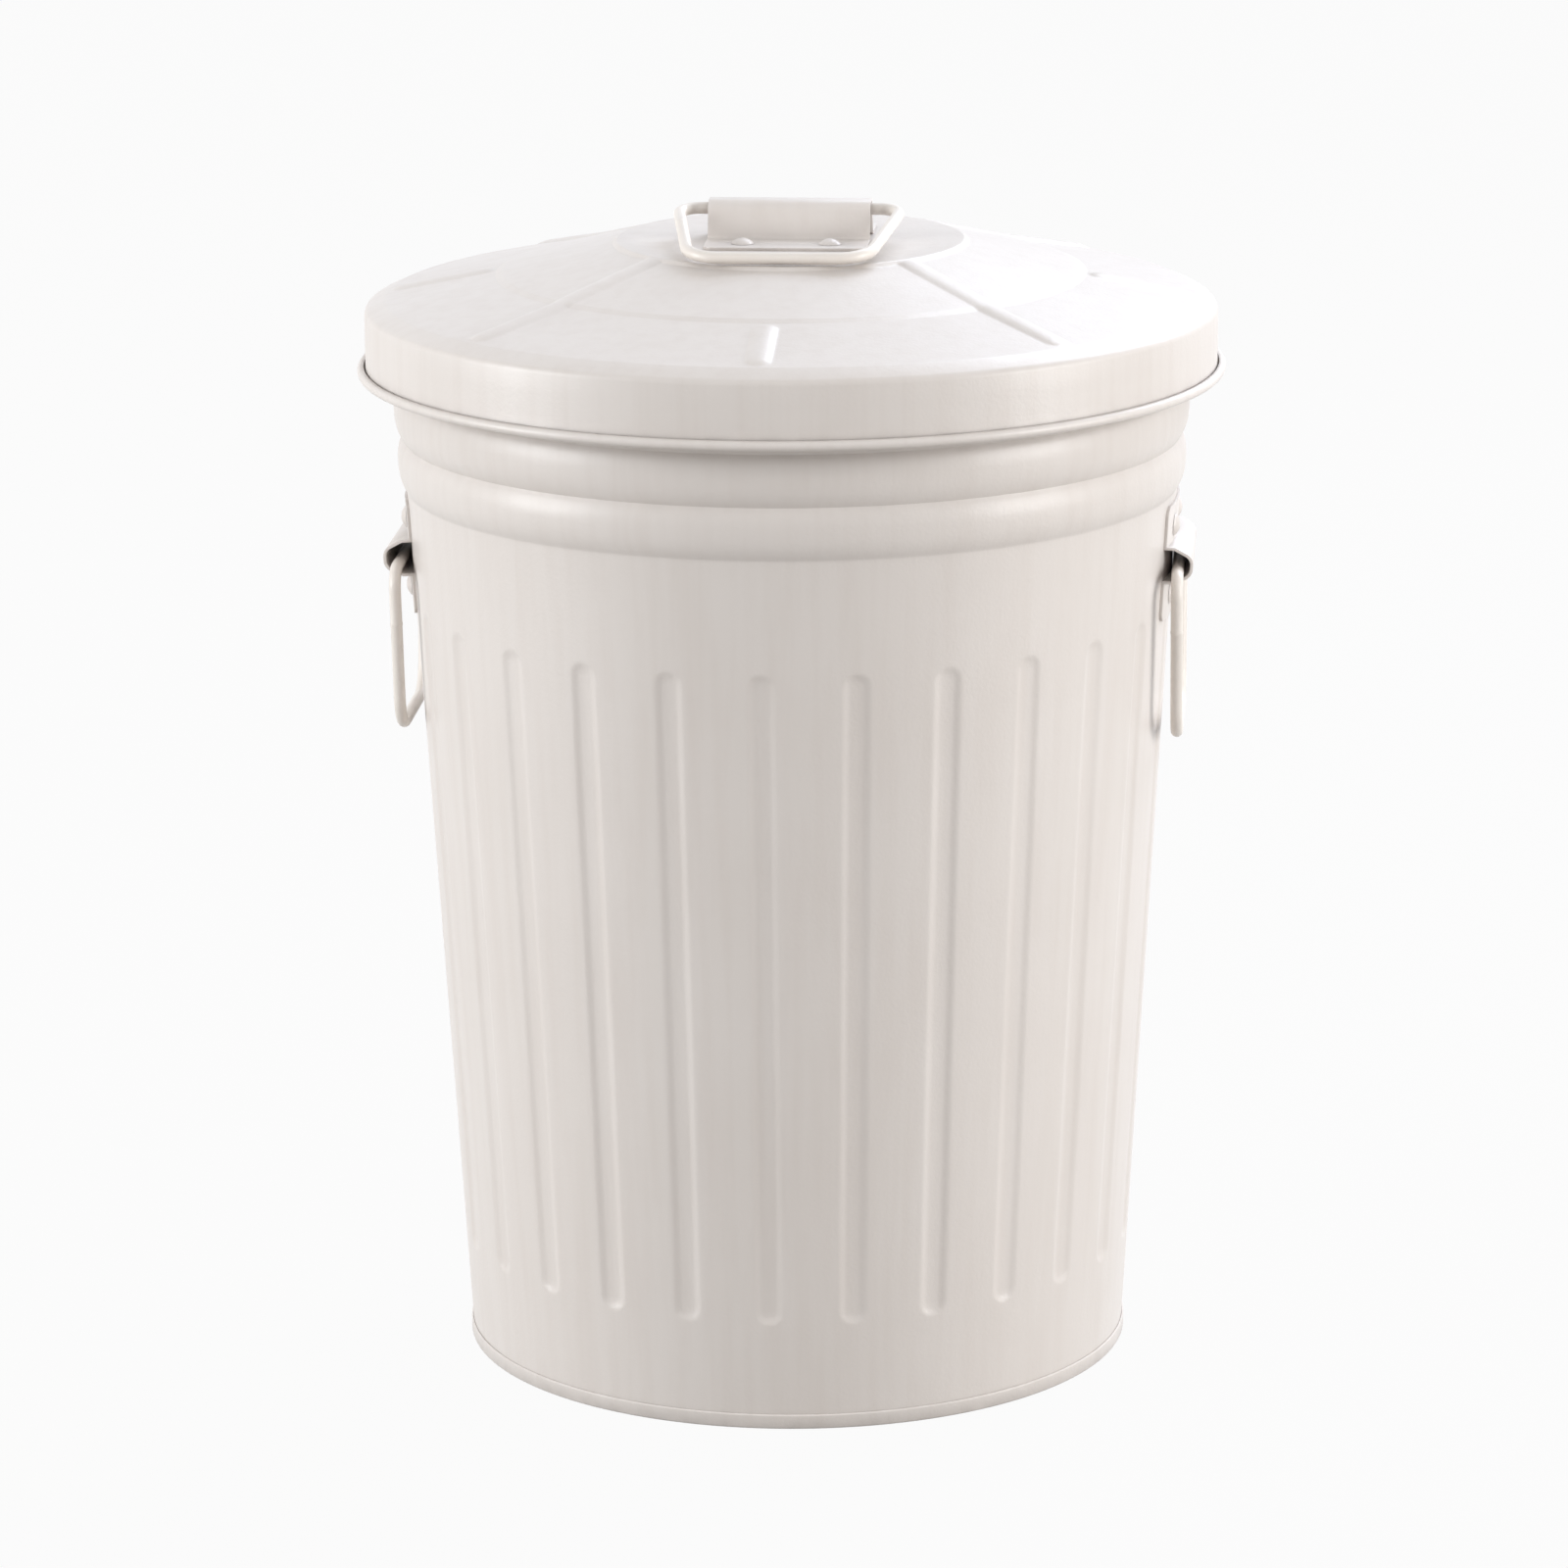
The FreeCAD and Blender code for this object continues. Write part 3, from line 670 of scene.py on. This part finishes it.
panShape = {
    "floorHeight": 8.0 * mm,
    "hoopGap": 0.1 * mm,
    "hoopCorner": 0.9 * mm,
    "lipWidth": 0.5 * mm,
    "steps": 144,
    "cornerSteps": 4,
    "floorRings": (0.97, 0.6, 0.25),
}


def makeFloorPan():
    sheet = wallShape["sheet"]
    hoopHeight = wallShape["hoopHeight"]
    outside = wallRadius(hoopHeight) + panShape["hoopGap"] + sheet
    inside = wallRadius(wallShape["footHeight"]) - 2 * sheet - panShape["hoopGap"]
    underside = panShape["floorHeight"] - sheet
    lip = panShape["lipWidth"]
    corner = panShape["hoopCorner"]
    corners = [(outside - lip, hoopHeight + lip / 2), (outside, hoopHeight - lip / 2), (outside, 0),
               (inside, 0), (inside, underside), (0, underside)]
    profile = roundCorners(corners, [0, lip, corner, corner, corner, 0], panShape["cornerSteps"])
    rings = [(inside * share, underside) for share in panShape["floorRings"]]
    profile = profile[:-1] + rings + profile[-1:]
    points = [Vector((radius, 0, height)) for radius, height in profile]
    pan = beginPiece("floorPan", points[0])
    drawLine(points)
    bpy.ops.mesh.select_all(action="SELECT")
    bpy.ops.mesh.spin(steps=panShape["steps"], angle=fullTurn, center=(0, 0, 0), axis=(0, 0, 1))
    closeSeams(pan, (Vector((outside, 0, hoopHeight / 2)), Vector((1, 0, 0))))
    bpy.ops.object.mode_set(mode="OBJECT")
    addThickness(pan, sheet)
    smoothShade(sheetFold)
    finishPiece(pan, creamPaint, "can", ["bottom_pan"])


makeFloorPan()
print("floor pan made")


# Lid: a sector with a long rib and one with a short rib, by turns

lidShape = {
    "sheet": 0.7 * mm,
    "clearance": 2.7 * mm,
    "seatGap": 0.4 * mm,
    "platformRadius": 72.0 * mm,
    "platformRise": 13.4 * mm,
    "platformStep": (1.8 * mm, 1.5 * mm),
    "ringStepRadius": 121.0 * mm,
    "ringStepRise": 9.9 * mm,
    "ringStep": (3.0 * mm, 1.4 * mm),
    "shoulderWidth": 8.7 * mm,
    "shoulderRise": 3.9 * mm,
    "skirtDepth": 25.3 * mm,
    "hemBore": 1.37 * mm,
    "hemOpening": 70,  # degrees
    "hemSteps": 14,
    "corners": (0, 1.4 * mm, 1.6 * mm, 1.6 * mm, 1.6 * mm, 4.0 * mm, 3.2 * mm, 0),
    "cornerSteps": 3,
    "ribWidth": 11.0 * mm,
    "ribRise": 1.4 * mm,
    "ribEndGap": 7.0 * mm,
    "longRibCrest": 72.6 * mm,
    "shortRibStart": 8.0 * mm,
    "ribSides": 8,
    "ribEndFade": 0.1,
    # extra grid lines across the plain stretches, in mm from the middle
    "plainStations": (30, 55, 66, 70, 75.6, 78, 83, 90, 98, 106, 113, 117.5, 136, 145, 154),
    "skirtStations": (0.35, 0.7),
    "fanSteps": 8,
    "edgeSoftness": 0.1,
}


def lidCorners():
    # the (radius, height) corners of the lid's outside, worked out from the rim it rests on
    shape = lidShape
    wall = wallShape
    topCrease = wall["lowestCrease"] + wall["rollCount"] * wall["rollHeight"]
    curlRadius = wallRadius(topCrease) + wall["neckFlare"] + wall["curlBore"]
    curlHeight = topCrease + wall["neckFlareHeight"] + wall["neckLength"]
    curlOutside = wall["curlBore"] + wall["sheet"]
    skirt = curlRadius + curlOutside + shape["clearance"] + shape["sheet"]
    lean = math.atan2(shape["shoulderRise"], shape["shoulderWidth"])
    seat = (curlOutside + shape["seatGap"] + shape["sheet"]) / math.cos(lean)
    skirtTop = curlHeight + seat - (skirt - curlRadius) * math.tan(lean)
    shoulder = skirtTop + shape["shoulderRise"]
    step = shoulder + shape["ringStepRise"]
    platform = step + shape["platformRise"]
    stepHalf = shape["ringStep"][0] / 2
    dropHalf = shape["ringStep"][1] / 2
    edge = shape["platformRadius"]
    return [
        (0, platform),
        (edge, platform),
        (edge + shape["platformStep"][0], platform - shape["platformStep"][1]),
        (shape["ringStepRadius"] - stepHalf, step + dropHalf),
        (shape["ringStepRadius"] + stepHalf, step - dropHalf),
        (skirt - shape["shoulderWidth"], shoulder),
        (skirt, skirtTop),
        (skirt, skirtTop - shape["skirtDepth"]),
    ]


lidCorner = lidCorners()
shoulderRadius = lidCorner[5][0]
skirtRadius, skirtTop = lidCorner[6]
hemHeight = lidCorner[7][1]
ribHalf = lidShape["ribWidth"] / 2
ribEnd = shoulderRadius - lidShape["ribEndGap"]
shortStart = lidShape["ringStepRadius"] + lidShape["shortRibStart"]


def lidRows():
    # (radius, height) from the middle of the platform to the end of the rolled hem
    shape = lidShape
    rounded = roundCorners(lidCorner, shape["corners"], shape["cornerSteps"])
    top = [row for row in rounded if row[0] < skirtRadius - mergeReach / 2]
    skirt = rounded[len(top):]
    stations = [station * mm for station in shape["plainStations"]]
    stations += [ribEnd + step * ribHalf for step in endSteps if step < endSteps[0]]
    stations += [shortStart - step * ribHalf for step in endSteps if step < endSteps[0]]
    rows = sorted(top + [(station, heightAt(top, station)) for station in stations])
    start, end = skirt[-2], skirt[-1]
    between = [(start[0], start[1] + (end[1] - start[1]) * share) for share in shape["skirtStations"]]
    hemCentre = (skirtRadius + shape["hemBore"], hemHeight)
    hemEnd = 180 + 360 - shape["hemOpening"]
    hem = arcPoints(hemCentre, shape["hemBore"], 180, hemEnd, shape["hemSteps"])
    return rows + skirt[:-1] + between + hem, rows


def longRibCrest(radius):
    # the top of a long rib: flush with the platform, then straight runs across the shallow step
    shape = lidShape
    points = [(shape["longRibCrest"], lidCorner[0][1])]
    for station in (shape["ringStepRadius"], ribEnd):
        points.append((station, heightAt(lidCorner, station) + shape["ribRise"]))
    points.append((shoulderRadius, heightAt(lidCorner, shoulderRadius) + shape["ribRise"]))
    return heightAt(points, radius)


def lidLine(rows, top, kind, across, fanShare):
    # one line from the middle of the platform to the hem; across is in half rib widths
    # fanShare goes from the side of the rib to the edge of the sector
    shape = lidShape
    sector = fullTurn / shape["ribSides"] / 2
    points = []
    for index, (radius, height) in enumerate(rows):
        wide = max(radius, shape["platformRadius"])
        if fanShare is not None:
            inner = acrossSteps[-1] * ribHalf / wide
            points.append(turned(radius, inner + (sector - inner) * fanShare, height))
            continue
        if index >= len(top) or radius < shape["longRibCrest"]:
            points.append(turned(radius, across * ribHalf / wide, height))
            continue
        centre, sign = ribEnd, 1
        if kind == "short" and radius < (shortStart + ribEnd) / 2:
            centre, sign = shortStart, -1
        along = (radius - centre) * sign / ribHalf
        bentAcross, bentAlong = roundEnd(across, along, shape["ribEndFade"])
        newRadius = centre + sign * bentAlong * ribHalf
        rise = softRamp(1 - bentAcross ** 2 - max(bentAlong, 0) ** 2, shape["edgeSoftness"])
        if max(bentAcross, bentAlong) > acrossSteps[-1]:
            rise = 0
        ground = heightAt(top, newRadius)
        lift = shape["ribRise"] if kind == "short" else longRibCrest(newRadius) - ground
        points.append(turned(newRadius, bentAcross * ribHalf / newRadius, ground + lift * rise))
    return points


def makeLidSector(name, kind):
    rows, top = lidRows()
    lines = [lidLine(rows, top, kind, across, None) for across in acrossSteps]
    fan = lidShape["fanSteps"]
    lines += [lidLine(rows, top, kind, 0, step / fan) for step in range(1, fan + 1)]
    sector = loftLines(name, lines)
    mirrorAcross((-1, 1, 1))
    bpy.ops.mesh.select_all(action="SELECT")
    copyRound(lidShape["ribSides"] // 2, 2 * fullTurn / lidShape["ribSides"])
    return sector


def makeLid():
    longs = makeLidSector("lidPressing", "long")
    bpy.ops.mesh.select_all(action="SELECT")
    bpy.ops.transform.rotate(value=fullTurn / lidShape["ribSides"], orient_axis="Z",
                             center_override=(0, 0, 0))
    shorts = makeLidSector("shortRibs", "short")
    clearSelection()
    shorts.select_set(True)
    longs.select_set(True)
    bpy.context.view_layer.objects.active = longs
    bpy.ops.object.join()
    bpy.ops.object.mode_set(mode="EDIT")
    closeSeams(longs, (turned(skirtRadius, 0, (skirtTop + hemHeight) / 2), Vector((0, -1, 0))))
    bpy.ops.object.mode_set(mode="OBJECT")
    addThickness(longs, lidShape["sheet"])
    smoothShade(sheetFold)
    finishPiece(longs, creamPaint, "lid", ["lid_shell"])


makeLid()
print("lid made")


# Drop rings, bent from wire and butt welded

ringShape = {
    "wire": 5.0 * mm,
    "width": 93.0 * mm,
    "footWidth": 72.0 * mm,
    "drop": 69.5 * mm,
    "shoulder": 8.0 * mm,
    "corner": 16.0 * mm,
    "sides": 20,
    "shoulderSteps": 8,
    "cornerSteps": 12,
    "weldDrop": 23.5 * mm,
    "weldWidth": 0.9 * mm,
    "weldSwell": 1.055,
    "lidTilt": math.radians(7.69),
}


def extrudeBy(shift):
    bpy.ops.mesh.extrude_region_move(TRANSFORM_OT_translate={"value": shift})


def swellLoop(scale, centre):
    bpy.ops.transform.resize(value=(scale, scale, scale), center_override=centre)


def bendRing(name, body, node, along, down):
    # from the middle of the bar, along it and round the four corners
    shape = ringShape
    hinge = hinges[body]
    half = shape["width"] / 2
    halfFoot = shape["footWidth"] / 2
    corners = [along * half, along * halfFoot + down * shape["drop"],
               down * shape["drop"] - along * halfFoot, -along * half]
    corners = [hinge + corner for corner in corners]
    radii = [shape["shoulder"], shape["corner"], shape["corner"], shape["shoulder"]]
    steps = [shape["shoulderSteps"], shape["cornerSteps"], shape["cornerSteps"], shape["shoulderSteps"]]
    clearSelection()
    bpy.ops.mesh.primitive_circle_add(vertices=shape["sides"], radius=shape["wire"] / 2, location=hinge,
                                      rotation=along.to_track_quat("Z", "Y").to_euler())
    ring = bpy.context.object
    ring.name = name
    ring.data.name = name
    bpy.ops.object.transform_apply(location=True, rotation=True, scale=True)
    bpy.ops.object.mode_set(mode="EDIT")
    bpy.ops.mesh.select_all(action="SELECT")
    here = hinge
    for index, corner in enumerate(corners):
        before = corners[index - 1] if index else hinge
        after = corners[index + 1] if index + 1 < len(corners) else hinge
        into = (corner - before).normalized()
        away = (after - corner).normalized()
        turn = into.angle(away)
        reach = radii[index] * math.tan(turn / 2)
        arcStart = corner - into * reach
        if index == len(corners) - 1:
            weld = corner - into * shape["weldDrop"]
            here = weldJoint(here, weld, into)
        extrudeBy(arcStart - here)
        sideways = (away - into * into.dot(away)).normalized()
        centre = arcStart + sideways * radii[index]
        bpy.ops.mesh.spin(steps=steps[index], angle=-turn, center=centre, axis=into.cross(sideways))
        here = corner + away * reach
    extrudeBy(hinge - here)
    closeSeams(ring, (hinge + along.cross(down) * shape["wire"] / 2, along.cross(down)))
    bpy.ops.object.mode_set(mode="OBJECT")
    smoothShade(wireFold)
    finishPiece(ring, ringPaint, body, [node])


def weldJoint(here, weld, into):
    # a low swelling where the two ends of the wire were welded together
    shape = ringShape
    width = shape["weldWidth"]
    swell = shape["weldSwell"]
    extrudeBy(weld - into * width - here)
    extrudeBy(into * width / 2)
    swellLoop(swell, weld - into * width / 2)
    extrudeBy(into * width)
    extrudeBy(into * width / 2)
    swellLoop(1 / swell, weld + into * width)
    return weld + into * width


straightDown = Vector((0, 0, -1))
bendRing("rightRing", "right_ring", "right_handle_ring", Vector((0, 1, 0)), straightDown)
bendRing("leftRing", "left_ring", "left_handle_ring", Vector((0, 1, 0)), straightDown)
tilt = ringShape["lidTilt"]
foldedForwards = Vector((0, -math.cos(tilt), -math.sin(tilt)))
bendRing("lidRing", "lid_ring", "lid_handle_ring", Vector((1, 0, 0)), foldedForwards)
print("rings made")


# Brackets: the pressed solids with their edges softened by paint

bracketShape = {
    "edgeRound": 0.22 * mm,
    "edgeSteps": 2,
    "flatLimit": math.radians(0.6),
    "sharpLimit": math.radians(40),
}

bracketPieces = (
    ("lidBracket", "lid_handle_bracket", "lid"),
    ("rightBracket", "right_handle_bracket", "can"),
    ("leftBracket", "left_handle_bracket", "can"),
)


def softenBracket(name, node, body):
    clearSelection()
    bracket = bpy.data.objects.new(name, cadNodes[node].data.copy())
    bpy.context.scene.collection.objects.link(bracket)
    bracket.data.name = name
    bracket.select_set(True)
    bpy.context.view_layer.objects.active = bracket
    bpy.ops.object.mode_set(mode="EDIT")
    bpy.ops.mesh.select_all(action="SELECT")
    bpy.ops.mesh.remove_doubles(threshold=mergeReach / 4)
    bpy.ops.mesh.dissolve_limited(angle_limit=bracketShape["flatLimit"])
    bpy.ops.object.mode_set(mode="OBJECT")
    edges = bracket.modifiers.new("paintedEdges", "BEVEL")
    edges.width = bracketShape["edgeRound"]
    edges.segments = bracketShape["edgeSteps"]
    edges.limit_method = "ANGLE"
    edges.angle_limit = bracketShape["sharpLimit"]
    bpy.ops.object.modifier_apply(modifier=edges.name)
    smoothShade(sheetFold)
    finishPiece(bracket, creamPaint, body, [node])


for name, node, body in bracketPieces:
    softenBracket(name, node, body)
print("brackets made")


# Solids that keep their own shape

def dressNode(node, material):
    mesh = cadNodes[node].data
    mesh.materials.clear()
    mesh.materials.append(material)


for node in ("lid_handle_rivets", "right_handle_rivets", "left_handle_rivets"):
    dressNode(node, creamPaint)
dressNode("rim_wire", steelWire)
print("rivets and rim wire dressed")


# Studio

studio = {
    "floorSize": 14,
    "floorColor": (0.28, 0.265, 0.25, 1),
    "floorRoughness": 0.9,
    "floorShadow": 0.05,
    "ambient": 0.545,
    "ambientTint": (0.995, 0.995, 1.01, 1),
    "aim": (0, 0, 0.24),
    "lamps": {
        "leftSoftbox": {
            "place": (-2.5, -0.95, 0.6),
            "size": (1.3, 2.0),
            "power": 58,
            "tint": (0.98, 1, 1.02),
        },
        "rightSoftbox": {
            "place": (2.5, -0.7, 0.6),
            "size": (1.3, 2.0),
            "power": 54,
            "tint": (1, 1, 1),
        },
        "backSoftbox": {
            "place": (0.9, 1.5, 1.75),
            "size": (1.4, 1.4),
            "power": 30,
            "tint": (0.9, 1, 1.18),
        },
        "frontStrip": {
            "place": (0.2, -1.9, 2.0),
            "size": (1.8, 0.25),
            "power": 2,
            "tint": (1, 1, 1),
        },
    },
}


def makeFloor():
    clearSelection()
    bpy.ops.mesh.primitive_plane_add(size=studio["floorSize"])
    floor = bpy.context.object
    floor.name = "studioFloor"
    material = bpy.data.materials.new("studioFloor")
    material.use_nodes = True
    tree = material.node_tree
    shader = tree.nodes["Principled BSDF"]
    shader.inputs["Base Color"].default_value = studio["floorColor"]
    shader.inputs["Roughness"].default_value = studio["floorRoughness"]
    glow = tree.nodes.new("ShaderNodeEmission")
    mix = tree.nodes.new("ShaderNodeMixShader")
    share = addMath(tree, "MULTIPLY", whiteRays(tree), 1 - studio["floorShadow"])
    tree.links.new(share, mix.inputs["Fac"])
    tree.links.new(shader.outputs["BSDF"], mix.inputs[1])
    tree.links.new(glow.outputs["Emission"], mix.inputs[2])
    tree.links.new(mix.outputs["Shader"], tree.nodes["Material Output"].inputs["Surface"])
    floor.data.materials.append(material)


def whiteRays(tree):
    # rays that show the plain white background
    path = tree.nodes.new("ShaderNodeLightPath")
    seen = addMath(tree, "MAXIMUM", path.outputs["Is Camera Ray"], path.outputs["Is Glossy Ray"])
    return addMath(tree, "MAXIMUM", seen, path.outputs["Is Transmission Ray"])


def makeWorld():
    world = bpy.data.worlds.new("studioWorld")
    bpy.context.scene.world = world
    world.use_nodes = True
    tree = world.node_tree
    light = tree.nodes["Background"]
    level = addRange(tree, whiteRays(tree), 0, 1, studio["ambient"], 1)
    tree.links.new(level, light.inputs["Strength"])
    light.inputs["Color"].default_value = studio["ambientTint"]


def makeLamps():
    for name, lamp in studio["lamps"].items():
        light = bpy.data.lights.new(name, "AREA")
        light.shape = "RECTANGLE"
        light.size, light.size_y = lamp["size"]
        light.energy = lamp["power"]
        light.color = lamp["tint"]
        holder = bpy.data.objects.new(name, light)
        bpy.context.scene.collection.objects.link(holder)
        holder.location = lamp["place"]
        facing = Vector(studio["aim"]) - holder.location
        holder.rotation_euler = facing.to_track_quat("-Z", "Y").to_euler()


view = {
    "lens": 151.4,
    "place": (0.2185, -2.6911, 0.9201),
    "turn": math.radians(4.733),
    "tilt": math.radians(75.82),
    "roll": math.radians(-0.398),
}


def makeCamera():
    lens = bpy.data.cameras.new("photoView")
    lens.lens = view["lens"]
    camera = bpy.data.objects.new("photoView", lens)
    bpy.context.scene.collection.objects.link(camera)
    turning = (Matrix.Rotation(view["turn"], 4, "Z") @ Matrix.Rotation(view["tilt"], 4, "X")
               @ Matrix.Rotation(view["roll"], 4, "Z"))
    camera.matrix_world = Matrix.Translation(view["place"]) @ turning
    bpy.context.scene.camera = camera


makeFloor()
makeWorld()
makeLamps()
makeCamera()
bpy.context.scene.view_settings.view_transform = "Standard"
print("studio made")
